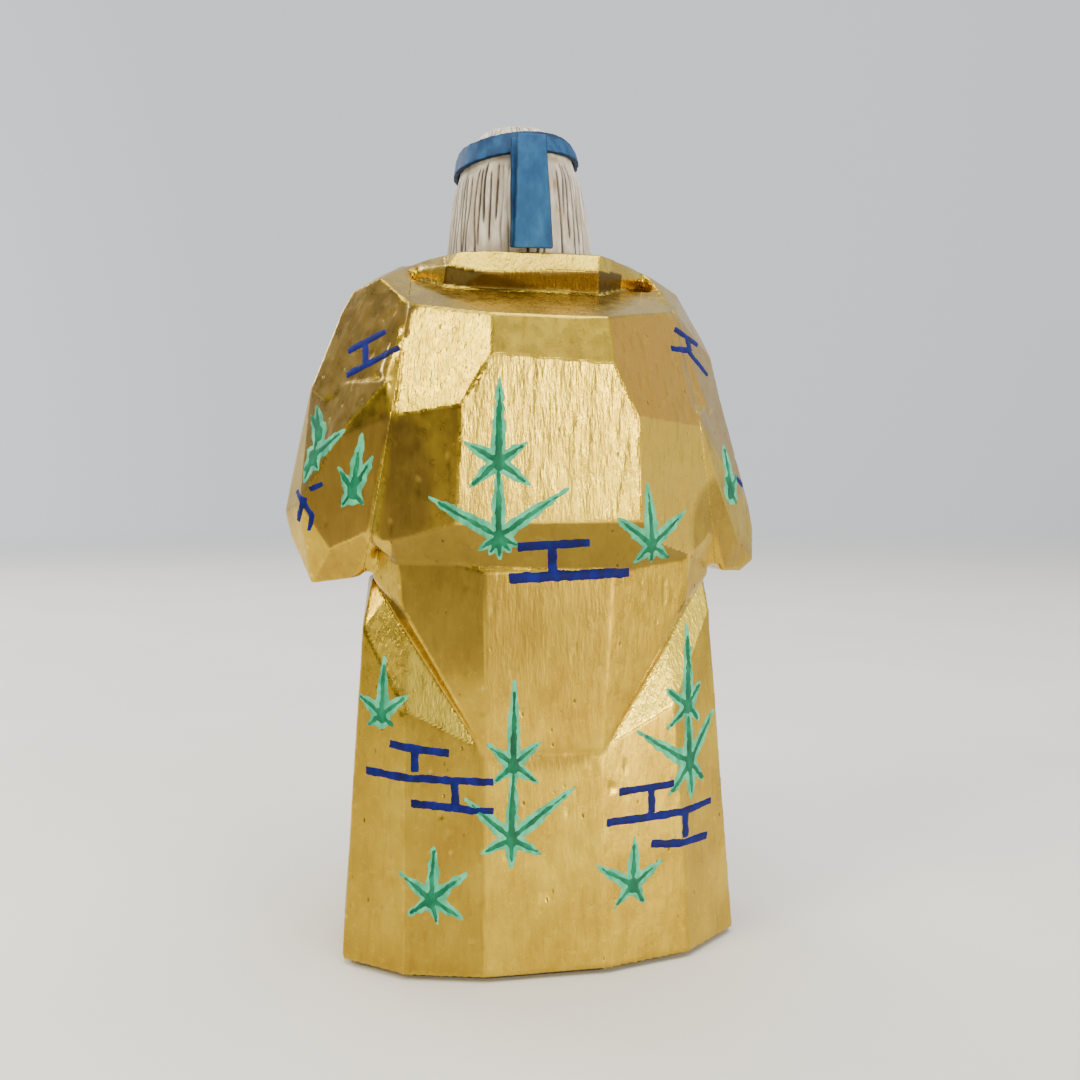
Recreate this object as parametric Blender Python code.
"""Carved standing figure of an elderly person, built as separate joined pieces.

The figure faces -Y and stands on the XY plane.  Every size below is in millimetres and is
turned into metres by MM when a mesh is made.
"""
import bmesh
import bpy
from math import cos, pi, radians, sin
from mathutils import Matrix, Vector

MM = 0.001
GAP = 0.3
HALF_GAP = GAP / 2

PAD_INSET = 1.6
FOOT_HALF_DEPTH = 20.0
RIM_Z = 0.9

SEAM_LEAN = 0.18
LEFT_SEAM_X = 18.9
RIGHT_SEAM_X = -21.2
SEAM_Z = 97.4
CHEST_Y = -16.0

DOWEL_RADIUS = 1.5
DOWEL_LENGTH = 9.0
DOWEL_ROWS = (("upper", -1.0, 88.0), ("lower", 3.0, 70.0))

HEAD_AT = (-0.1, -8.5, 115.9)
HEAD_BOW = radians(8)
HEAD_ROLL = radians(1)
HEAD_SIDES = 32
NECK_PEG_RADIUS = 3.0
NECK_PEG_BOTTOM = -29.0
NECK_PEG_TOP = -7.0

BAND_MIDDLE = 6.5
BAND_HALF_WIDTH = 1.85
BAND_SLANT = 0.8
BAND_FRONT_RISE = 2.6
BAND_THICK = 0.8

HAND_PEG_RADIUS = 1.2

FOOT_OUTLINE = (
    (30.0, 10.3), (21.2, 17.2), (10.0, 20.2), (-7.8, 20.4), (-21.6, 17.2), (-31.0, 9.8),
    (-30.5, -5.0), (-23.5, -15.0), (-9.0, -20.0), (9.0, -20.0), (23.0, -15.0), (29.8, -5.0),
)


def clear_scene():
    for item in list(bpy.data.objects):
        bpy.data.objects.remove(item, do_unlink=True)


def make_material(name, colour, roughness, metallic):
    material = bpy.data.materials.new(name)
    material.use_nodes = True
    shader = material.node_tree.nodes["Principled BSDF"]
    shader.inputs["Base Color"].default_value = (*colour, 1.0)
    shader.inputs["Roughness"].default_value = roughness
    shader.inputs["Metallic"].default_value = metallic
    return material


def mesh_object(name, work):
    bmesh.ops.recalc_face_normals(work, faces=work.faces)
    bmesh.ops.scale(work, vec=(MM, MM, MM), verts=work.verts)
    mesh = bpy.data.meshes.new(name)
    work.to_mesh(mesh)
    work.free()
    item = bpy.data.objects.new(name, mesh)
    bpy.context.scene.collection.objects.link(item)
    return item


def hull(name, points):
    """Convex faceted block through the given points."""
    work = bmesh.new()
    for point in points:
        work.verts.new(point)
    result = bmesh.ops.convex_hull(work, input=work.verts)
    loose = [part for part in result["geom_interior"] if isinstance(part, bmesh.types.BMVert)]
    bmesh.ops.delete(work, geom=list(set(loose)), context="VERTS")
    bmesh.ops.dissolve_limit(work, angle_limit=radians(1.0), verts=work.verts, edges=work.edges)
    return mesh_object(name, work)


def loft(name, rings):
    """Closed body through rings of equal point count, with flat ends."""
    work = bmesh.new()
    rows = [[work.verts.new(point) for point in ring] for ring in rings]
    count = len(rows[0])
    for lower, upper in zip(rows, rows[1:]):
        for i in range(count):
            j = (i + 1) % count
            work.faces.new((lower[i], lower[j], upper[j], upper[i]))
    work.faces.new(list(reversed(rows[0])))
    work.faces.new(rows[-1])
    return mesh_object(name, work)


def tube(name, outer, inner):
    """Closed ring-shaped body between an outer and an inner stack of loops."""
    work = bmesh.new()
    loops = outer + inner[::-1]
    rows = [[work.verts.new(point) for point in loop] for loop in loops]
    count = len(rows[0])
    for k in range(len(rows)):
        here = rows[k]
        there = rows[(k + 1) % len(rows)]
        for i in range(count):
            j = (i + 1) % count
            work.faces.new((here[i], here[j], there[j], there[i]))
    return mesh_object(name, work)


def rod(name, start, end, radius, sides=24):
    """Round bar from one point to another."""
    start = Vector(start)
    end = Vector(end)
    turn = (end - start).to_track_quat("Z", "Y").to_matrix()
    rings = []
    for centre in (start, end):
        ring = []
        for i in range(sides):
            angle = 2 * pi * i / sides
            ring.append(centre + turn @ Vector((radius * cos(angle), radius * sin(angle), 0)))
        rings.append(ring)
    return loft(name, rings)


def combine(target, other, operation):
    """Run one exact Boolean and drop the second body."""
    modifier = target.modifiers.new("cut", "BOOLEAN")
    modifier.operation = operation
    modifier.solver = "EXACT"
    modifier.object = other
    view = bpy.context.evaluated_depsgraph_get()
    result = bpy.data.meshes.new_from_object(target.evaluated_get(view))
    target.modifiers.clear()
    target.data = result
    bpy.data.objects.remove(other, do_unlink=True)
    return target


def join(target, other):
    return combine(target, other, "UNION")


def cut(target, other):
    return combine(target, other, "DIFFERENCE")


def clean(item):
    """Merge coplanar slivers left by the Booleans."""
    work = bmesh.new()
    work.from_mesh(item.data)
    bmesh.ops.remove_doubles(work, verts=work.verts, dist=0.00001)
    bmesh.ops.dissolve_limit(work, angle_limit=radians(0.4), verts=work.verts, edges=work.edges)
    bmesh.ops.triangulate(work, faces=work.faces)
    bmesh.ops.recalc_face_normals(work, faces=work.faces)
    work.to_mesh(item.data)
    work.free()


def finish(item, name, material, smooth=False):
    clean(item)
    item.name = name
    item.data.name = name
    item.data.materials.clear()
    item.data.materials.append(material)
    for face in item.data.polygons:
        face.use_smooth = smooth
    return item


def half_space(name, point, normal, shift):
    """Large block whose near face stands at point + normal * shift and fills the normal side."""
    size = 120.0
    normal = Vector(normal).normalized()
    turn = normal.to_track_quat("Z", "Y").to_matrix()
    base = Vector(point) + normal * shift
    points = []
    for depth in (0.0, size):
        for across in (-size, size):
            for along in (-size, size):
                points.append(base + turn @ Vector((across, along, depth)))
    return hull(name, points)


def outward(side):
    """Normal of the seam face of one sleeve."""
    return Vector((float(side), 0.0, SEAM_LEAN))


def seam_point(side):
    return Vector((LEFT_SEAM_X if side > 0 else RIGHT_SEAM_X, 0.0, SEAM_Z))


# ---------------------------------------------------------------- robe body

def skirt_block():
    """Ankle-length skirt with a flared, many-sided foot and sloped upper edges."""
    points = [(x, y, RIM_Z) for x, y in FOOT_OUTLINE]
    points += [(9.2, 18.0, 33.4), (20.4, 14.6, 38.9), (26.2, 9.0, 50.5), (24.6, 6.0, 57.2)]
    points += [(-8.0, 18.0, 32.8), (-20.0, 14.8, 38.2), (-27.6, 7.5, 51.5), (-27.0, 6.0, 57.0)]
    points += [(18.0, 8.0, 61.0), (-18.5, 8.0, 61.0)]
    points += [(25.0, -5.0, 56.6), (-26.4, -5.0, 56.6), (18.5, -13.4, 57.2), (-19.0, -13.4, 57.2)]
    points += [(7.0, -16.2, 57.6), (-7.0, -16.2, 57.6), (14.0, -8.0, 61.0), (-14.0, -8.0, 61.0)]
    return hull("skirt", points)


def back_panel():
    """Pointed back panel of the outer coat, standing just proud of the skirt."""
    points = [(9.3, 18.2, 33.2), (9.0, 18.6, 59.3), (-8.1, 18.2, 32.6), (-9.6, 18.6, 58.6)]
    points += [(20.6, 14.0, 53.6), (21.2, 14.0, 62.0), (24.5, 8.6, 57.6), (24.5, 8.6, 62.0)]
    points += [(-21.6, 14.0, 53.3), (-22.6, 14.0, 62.0), (-27.0, 8.6, 57.3), (-27.0, 8.6, 62.0)]
    points += [(9.0, -12.0, 40.0), (-9.0, -12.0, 40.0), (20.0, -12.0, 64.0), (-20.0, -12.0, 64.0)]
    return hull("panel", points)


def torso_block():
    """Hunched upper body, cut in broad flat facets."""
    left_back = [(20.9, 13.8, 60.2), (25.2, 13.6, 63.8), (21.9, 15.8, 63.3), (13.3, 21.2, 65.9)]
    left_back += [(22.6, 15.9, 81.0), (12.7, 22.2, 82.4), (8.2, 22.6, 89.5), (7.9, 20.8, 95.1)]
    left_back += [(19.6, 12.0, 97.4), (9.0, 18.2, 59.8)]
    right_back = [(-22.4, 14.0, 60.4), (-29.8, 8.4, 65.7), (-15.6, 19.2, 62.8), (-13.1, 21.2, 66.1)]
    right_back += [(-25.0, 12.4, 79.8), (-12.4, 22.1, 81.0), (-8.8, 22.6, 88.2), (-8.6, 20.4, 94.8)]
    right_back += [(-22.6, 8.4, 97.5), (-9.8, 18.2, 58.6), (-27.0, 8.5, 58.5)]
    shoulder = [(19.8, 0.0, 102.8), (6.0, 4.0, 99.6), (-10.2, 4.0, 99.8), (-21.5, 0.0, 101.6)]
    shoulder += [(19.8, -8.0, 102.4), (-21.5, -8.0, 101.6)]
    front = [(13.0, -14.5, 96.0), (-13.5, -14.5, 96.0), (15.0, CHEST_Y, 84.0), (-15.0, CHEST_Y, 84.0)]
    front += [(14.0, CHEST_Y, 60.5), (-14.0, CHEST_Y, 60.5), (26.0, -8.0, 62.0), (-28.0, -8.0, 62.0)]
    front += [(13.0, -14.0, 57.6), (-13.0, -14.0, 57.6), (22.5, -6.0, 58.5), (-24.0, -6.0, 58.5)]
    torso = hull("torso", left_back + right_back + shoulder + front)
    join(torso, collar_block())
    for side in (1, -1):
        cut(torso, half_space("seam", seam_point(side), outward(side), -HALF_GAP))
    return torso


def collar_block():
    """Stiff collar standing away from the nape, flared outwards, open at the front."""
    outer = [(18.4, -6.0, 99.0), (13.4, 3.4, 99.0), (-11.0, 3.6, 99.0), (-18.6, -6.0, 99.0)]
    outer += [(19.2, -4.5, 104.6), (12.8, 5.0, 104.2), (7.3, 6.5, 103.0), (-10.3, 6.2, 103.6)]
    outer += [(-21.0, -4.5, 104.2), (18.4, -5.0, 106.0), (10.9, 4.0, 106.5), (5.6, 4.7, 106.7)]
    outer += [(-11.0, 4.4, 106.5), (-20.4, -5.0, 105.6)]
    outer += [(16.0, -11.0, 102.5), (-16.0, -11.0, 102.5), (14.0, -13.0, 98.0), (-14.0, -13.0, 98.0)]
    return hull("collar", outer)


def neck_well():
    """Opening inside the collar, falling away to the front."""
    top = [(9.4, 3.0), (-9.6, 3.0), (-16.4, -6.0), (-13.0, -14.0), (-9.0, -22.0), (9.0, -22.0)]
    top += [(13.0, -14.0), (16.4, -6.0)]
    points = [(x, y, 112.0) for x, y in top]
    points += [(8.0, 1.6, 96.6), (-8.2, 1.6, 96.6), (13.0, -6.0, 96.6), (-13.0, -6.0, 96.6)]
    points += [(9.5, -14.0, 96.6), (-9.5, -14.0, 96.6), (7.0, -20.0, 96.4), (-7.0, -20.0, 96.4)]
    return hull("well", points)


def lapel_notch():
    """V-shaped neck opening between the front edges of the coat."""
    points = [(8.5, -11.6, 101.0), (-8.5, -11.6, 101.0), (0.0, -12.6, 90.0), (0.0, -14.6, 84.0)]
    points += [(11.0, -20.0, 101.0), (-11.0, -20.0, 101.0), (0.0, -20.0, 82.0)]
    return hull("notch", points)


def front_overlap():
    """Raised front edge of the robe, left side lapped over right."""
    points = [(5.0, -19.5, RIM_Z), (5.0, -10.0, RIM_Z), (-16.0, -18.6, RIM_Z), (-16.0, -10.0, RIM_Z)]
    points += [(0.5, -20.6, RIM_Z), (-9.0, -21.2, RIM_Z), (4.0, -16.9, 56.0), (-1.0, -17.3, 56.0)]
    points += [(-4.0, -16.5, 56.0), (-4.0, -10.0, 56.0), (4.0, -10.0, 56.0)]
    return hull("overlap", points)


def make_robe(material):
    robe = skirt_block()
    join(robe, front_overlap())
    join(robe, back_panel())
    join(robe, torso_block())
    cut(robe, neck_well())
    cut(robe, lapel_notch())
    socket_top = head_point((0.0, 0.0, NECK_PEG_TOP))
    socket_end = head_point((0.0, 0.0, NECK_PEG_BOTTOM - GAP))
    cut(robe, rod("socket", socket_top, socket_end, NECK_PEG_RADIUS + GAP))
    for side in (1, -1):
        for _, y, z in DOWEL_ROWS:
            start, end = dowel_ends(side, y, z, GAP)
            cut(robe, rod("bore", start, end, DOWEL_RADIUS + GAP))
    return finish(robe, "robe_body", material)


def make_pad(material):
    shrink = 1.0 - PAD_INSET / FOOT_HALF_DEPTH
    rings = []
    for z in (0.0, RIM_Z - GAP):
        rings.append([(x * shrink, y * shrink, z) for x, y in FOOT_OUTLINE])
    return finish(loft("pad", rings), "base_pad", material)


# ---------------------------------------------------------------- sleeves

def left_sleeve_blocks():
    arm = [(17.6, -4.0, 105.7), (19.1, -4.0, 105.6), (22.4, -4.0, 104.0), (22.7, 5.0, 102.1)]
    arm += [(26.8, 1.8, 100.5), (28.4, 1.9, 97.7), (30.6, 3.0, 92.0), (33.1, 4.0, 85.9)]
    arm += [(31.3, 7.0, 84.1), (21.9, 14.6, 87.6), (18.8, 12.0, 97.3), (17.6, -9.0, 104.0)]
    arm += [(26.0, -9.0, 99.0), (33.0, -9.0, 84.0), (19.5, -13.0, 94.0)]
    arm += [(22.0, 12.0, 78.0), (30.0, 2.0, 76.0), (30.0, -8.0, 76.0), (22.0, -14.0, 78.0)]
    bell = [(21.9, 16.2, 86.4), (21.9, 16.4, 81.1), (29.2, 12.0, 78.6), (33.2, 3.5, 85.8)]
    bell += [(35.0, 7.6, 68.9), (37.4, 2.0, 67.5), (36.7, 2.4, 63.8), (33.6, 5.5, 56.8)]
    bell += [(30.7, 9.3, 62.2), (28.5, 10.8, 64.5), (24.9, 12.8, 64.9), (24.6, 9.0, 58.1)]
    bell += [(35.2, 1.0, 77.8), (33.0, -9.0, 84.5), (37.4, -9.0, 68.0), (35.6, -16.0, 60.5)]
    bell += [(33.0, -6.0, 56.8), (25.5, -6.0, 57.2), (29.0, -20.0, 61.0), (22.0, -14.0, 84.0)]
    bell += [(31.0, -20.0, 76.0), (24.0, -17.0, 60.0)]
    return arm, bell


def right_sleeve_blocks():
    arm = [(-19.8, -4.0, 105.6), (-20.6, -3.0, 104.4), (-23.0, -3.0, 103.1), (-25.0, -2.0, 101.7)]
    arm += [(-26.8, -1.0, 97.8), (-28.6, 0.0, 94.5), (-29.8, 1.0, 91.2), (-31.4, 1.0, 84.9)]
    arm += [(-21.4, 9.4, 97.3), (-23.4, 9.2, 92.0), (-27.2, 8.6, 82.0), (-19.8, -9.0, 104.0)]
    arm += [(-25.4, -9.0, 99.0), (-31.0, -9.0, 84.0), (-22.0, -13.0, 94.0)]
    arm += [(-24.5, 12.0, 78.0), (-30.0, 2.0, 76.0), (-30.0, -8.0, 76.0), (-24.5, -14.0, 78.0)]
    bell = [(-23.6, 13.4, 82.0), (-24.0, 13.2, 79.9), (-31.3, 1.5, 84.5), (-32.5, 2.0, 78.4)]
    bell += [(-29.8, 8.4, 65.7), (-26.6, 10.9, 66.0), (-32.2, 7.0, 62.8), (-36.1, 2.0, 67.4)]
    bell += [(-36.8, 2.0, 63.8), (-36.4, 3.0, 58.7), (-33.7, 5.0, 57.2), (-29.5, 8.4, 57.6)]
    bell += [(-34.6, 2.0, 72.0), (-31.4, -9.0, 84.5)]
    bell += [(-36.8, -9.0, 68.0), (-35.4, -16.0, 60.5), (-33.0, -6.0, 56.8), (-29.0, -6.0, 57.2)]
    bell += [(-29.0, -20.0, 61.0), (-24.5, -14.0, 84.0), (-31.0, -20.0, 76.0), (-26.0, -17.0, 60.0)]
    return arm, bell


def forearm_points(side):
    """Front of the sleeve, brought round to the middle of the body."""
    back = CHEST_Y - GAP
    points = [(31.0, -12.0, 80.0), (31.0, -12.0, 60.0), (30.0, -22.0, 74.0), (28.5, -22.0, 61.0)]
    points += [(21.0, -26.0, 62.5), (11.0, -26.5, 64.5), (20.0, -26.0, 75.0), (9.5, -26.5, 76.5)]
    points += [(7.5, back, 78.0), (9.0, back, 64.5), (22.0, back, 61.0), (19.0, -14.0, 82.0)]
    points += [(9.0, back, 79.5), (24.0, -13.0, 62.0)]
    return [(side * x, y, z) for x, y, z in points]


def make_sleeve(side, name, material):
    arm, bell = left_sleeve_blocks() if side > 0 else right_sleeve_blocks()
    sleeve = hull("arm", arm)
    join(sleeve, hull("bell", bell))
    cut(sleeve, half_space("seam", seam_point(side), -outward(side), -HALF_GAP))
    forearm = hull("forearm", forearm_points(side))
    trim = hull("trim", chest_space(side))
    cut(forearm, trim)
    join(sleeve, forearm)
    mouth = mouth_points(side)
    cut(sleeve, hull("mouth", mouth))
    start, end = hand_peg_ends(side, GAP)
    cut(sleeve, rod("bore", start, end, HAND_PEG_RADIUS + GAP))
    for _, y, z in DOWEL_ROWS:
        start, end = dowel_ends(side, y, z, GAP)
        cut(sleeve, rod("bore", start, end, DOWEL_RADIUS + GAP))
    return finish(sleeve, name, material)


def chest_space(side):
    """Room kept clear for the upper body, on the inner side of one seam."""
    base = seam_point(side)
    lean = side * SEAM_LEAN
    points = []
    for z in (50.0, 110.0):
        edge = base.x + lean * (SEAM_Z - z) + side * HALF_GAP
        for y in (CHEST_Y - GAP, 30.0):
            points.append((edge, y, z))
            points.append((-side * 5.0, y, z))
    return points


def mouth_points(side):
    """Hollow of the sleeve mouth, where the hand comes out."""
    points = []
    for x, grow in ((4.0, 1.6), (15.0, 0.0)):
        points.append((side * x, -24.9 - grow * 0.1, 75.2 + grow * 0.3))
        points.append((side * x, -24.9 - grow * 0.1, 66.0 - grow * 0.3))
        points.append((side * x, CHEST_Y - 2.2, 76.6 + grow * 0.3))
        points.append((side * x, CHEST_Y - 2.2, 66.0 - grow * 0.3))
    return points


def dowel_ends(side, y, z, extra):
    """Two ends of a dowel that crosses the sleeve seam square to it."""
    centre = seam_point(side)
    centre.x += side * SEAM_LEAN * (SEAM_Z - z)
    centre.y = y
    centre.z = z
    reach = outward(side).normalized() * (DOWEL_LENGTH / 2 + extra)
    return centre - reach, centre + reach


def make_dowels(side, word, material):
    for row, y, z in DOWEL_ROWS:
        start, end = dowel_ends(side, y, z, 0.0)
        finish(rod("dowel", start, end, DOWEL_RADIUS), word + "_sleeve_dowel_" + row, material)


# ---------------------------------------------------------------- hands

def hand_peg_ends(side, extra):
    return (side * (13.0 - extra), -21.0, 71.0), (side * (20.0 + extra), -20.6, 71.0)


def make_hand(side, name, material):
    """Relaxed hand; the left one rests over the right one."""
    if side > 0:
        points = [(14.0, -23.6, 74.6), (14.0, -23.6, 67.6), (14.0, -18.8, 74.6), (14.0, -18.8, 67.6)]
        points += [(6.0, -25.6, 75.4), (6.0, -25.8, 67.6), (4.0, -21.6, 76.0), (4.0, -21.6, 67.4)]
        points += [(-3.5, -27.2, 74.2), (-3.5, -27.2, 68.2), (-4.5, -24.2, 74.4), (-4.5, -24.2, 68.0)]
    else:
        points = [(-14.0, -23.4, 74.2), (-14.0, -23.4, 67.2), (-14.0, -18.8, 74.2), (-14.0, -18.8, 67.2)]
        points += [(-5.4, -23.8, 74.8), (-5.4, -23.8, 66.8), (-4.0, -18.8, 74.8), (-4.0, -18.8, 66.8)]
        points += [(2.6, -21.2, 73.4), (2.6, -21.2, 67.0), (2.6, -18.0, 73.4), (2.6, -18.0, 67.0)]
    hand = hull("hand", points)
    start, end = hand_peg_ends(side, GAP)
    inner = Vector(start) - Vector((side * 3.0, 0.0, 0.0))
    cut(hand, rod("bore", inner, end, HAND_PEG_RADIUS + GAP))
    return finish(hand, name, material)


def make_hand_peg(side, name, material):
    start, end = hand_peg_ends(side, 0.0)
    inner = Vector(start) - Vector((side * 2.6, 0.0, 0.0))
    return finish(rod("peg", inner, end, HAND_PEG_RADIUS, sides=16), name, material, smooth=False)


# ---------------------------------------------------------------- head

HEAD_RINGS = (
    (-17.4, 4.4, 3.4, -5.0), (-15.2, 4.8, 4.0, -6.2), (-13.6, 6.6, 5.6, -8.8),
    (-11.4, 10.4, 7.2, -10.2), (-9.6, 11.7, 8.2, -10.9), (-6.0, 11.4, 9.3, -11.4),
    (-2.0, 10.8, 10.4, -11.6), (1.5, 10.3, 11.0, -11.4), (5.0, 9.4, 10.9, -10.8),
    (8.4, 8.7, 9.8, -10.2), (10.4, 7.5, 7.4, -9.4), (12.0, 6.2, 4.6, -8.2),
    (12.9, 4.8, 1.4, -6.6), (13.2, 3.0, -1.0, -5.0),
)


def head_matrix():
    return Matrix.Rotation(HEAD_ROLL, 3, "Y") @ Matrix.Rotation(HEAD_BOW, 3, "X")


def head_point(local):
    return head_matrix() @ Vector(local) + Vector(HEAD_AT)


def head_surface(angle, height, grow):
    """Point on the head at one angle and height, moved outwards by grow."""
    for low, high in zip(HEAD_RINGS, HEAD_RINGS[1:]):
        if low[0] <= height <= high[0]:
            break
    share = (height - low[0]) / (high[0] - low[0])
    half, back, front = [a + (b - a) * share for a, b in zip(low[1:], high[1:])]
    middle = (back + front) / 2
    depth = (back - front) / 2
    return head_point(((half + grow) * cos(angle), middle + (depth + grow) * sin(angle), height))


def head_section(height, grow, slant=0.0, front_rise=0.0):
    """Loop round the head; slant lowers its left side and lifts its right side, front_rise lifts its front."""
    loop = []
    for i in range(HEAD_SIDES):
        angle = 2 * pi * i / HEAD_SIDES
        lift = front_rise * (1.0 - sin(angle)) / 2 - slant * cos(angle)
        loop.append(head_surface(angle, height + lift, grow))
    return loop


def make_head(material):
    head = loft("head", [head_section(ring[0], 0.0) for ring in HEAD_RINGS])
    nose = [(-2.1, -10.4, -5.2), (2.1, -10.4, -5.2), (0.0, -13.6, -4.4), (0.0, -12.9, -5.6)]
    nose += [(-0.8, -10.8, 0.6), (0.8, -10.8, 0.6), (0.0, -9.0, 0.6), (0.0, -9.0, -5.2)]
    join(head, hull("nose", [head_point(point) for point in nose]))
    top = head_point((0.0, 0.0, NECK_PEG_TOP + GAP))
    below = head_point((0.0, 0.0, -22.0))
    cut(head, rod("socket", below, top, NECK_PEG_RADIUS + GAP))
    return finish(head, "head", material, smooth=True)


def make_neck_peg(material):
    top = head_point((0.0, 0.0, NECK_PEG_TOP))
    bottom = head_point((0.0, 0.0, NECK_PEG_BOTTOM))
    return finish(rod("peg", bottom, top, NECK_PEG_RADIUS), "neck_peg", material)


def make_headband(material):
    shares = (-1.0, -0.5, 0.0, 0.5, 1.0)
    edges = [BAND_MIDDLE + BAND_HALF_WIDTH * share for share in shares]
    outer = [head_section(height, GAP + BAND_THICK, BAND_SLANT, BAND_FRONT_RISE) for height in edges]
    inner = [head_section(height, GAP, BAND_SLANT, BAND_FRONT_RISE) for height in edges]
    return finish(tube("band", outer, inner), "headband", material, smooth=True)


def make_tail(name, stations, thickness, material):
    """Hanging strip; each station gives left edge, right edge, front face and height."""
    rings = []
    for left, right, front, height in stations:
        back = front + thickness
        ring = [(left, front, height), (right, front, height), (right, back, height), (left, back, height)]
        rings.append(ring)
    return finish(loft("tail", rings), name, material)


def main():
    clear_scene()
    gold = make_material("gold_leaf_on_wood", (0.62, 0.40, 0.13), 0.34, 0.85)
    paint = make_material("aged_white_paint", (0.66, 0.60, 0.53), 0.62, 0.0)
    skin = make_material("skin_paint", (0.78, 0.60, 0.46), 0.5, 0.0)
    blue = make_material("blue_band_paint", (0.05, 0.18, 0.42), 0.55, 0.0)
    wood = make_material("bare_cypress_wood", (0.60, 0.42, 0.24), 0.7, 0.0)
    felt = make_material("dark_felt", (0.06, 0.05, 0.045), 0.95, 0.0)

    make_robe(gold)
    make_pad(felt)
    for side, word in ((1, "left"), (-1, "right")):
        make_sleeve(side, word + "_sleeve", gold)
        make_dowels(side, word, wood)
        make_hand(side, word + "_hand", skin)
        make_hand_peg(side, word + "_hand_peg", wood)
    make_head(paint)
    make_neck_peg(wood)
    make_headband(blue)
    under = [(3.0, -1.4, 3.3, 107.4), (2.9, -1.4, 3.4, 116.0)]
    under += [(2.8, -1.4, 3.1, 121.4), (2.6, -1.4, 2.3, 124.1)]
    make_tail("headband_tail_under", under, 0.6, blue)
    over = [(2.6, -3.5, 4.3, 107.2), (2.2, -2.9, 4.4, 116.0)]
    over += [(2.0, -2.7, 4.1, 121.5), (1.9, -2.7, 3.3, 124.4)]
    make_tail("headband_tail_over", over, 0.7, blue)


main()
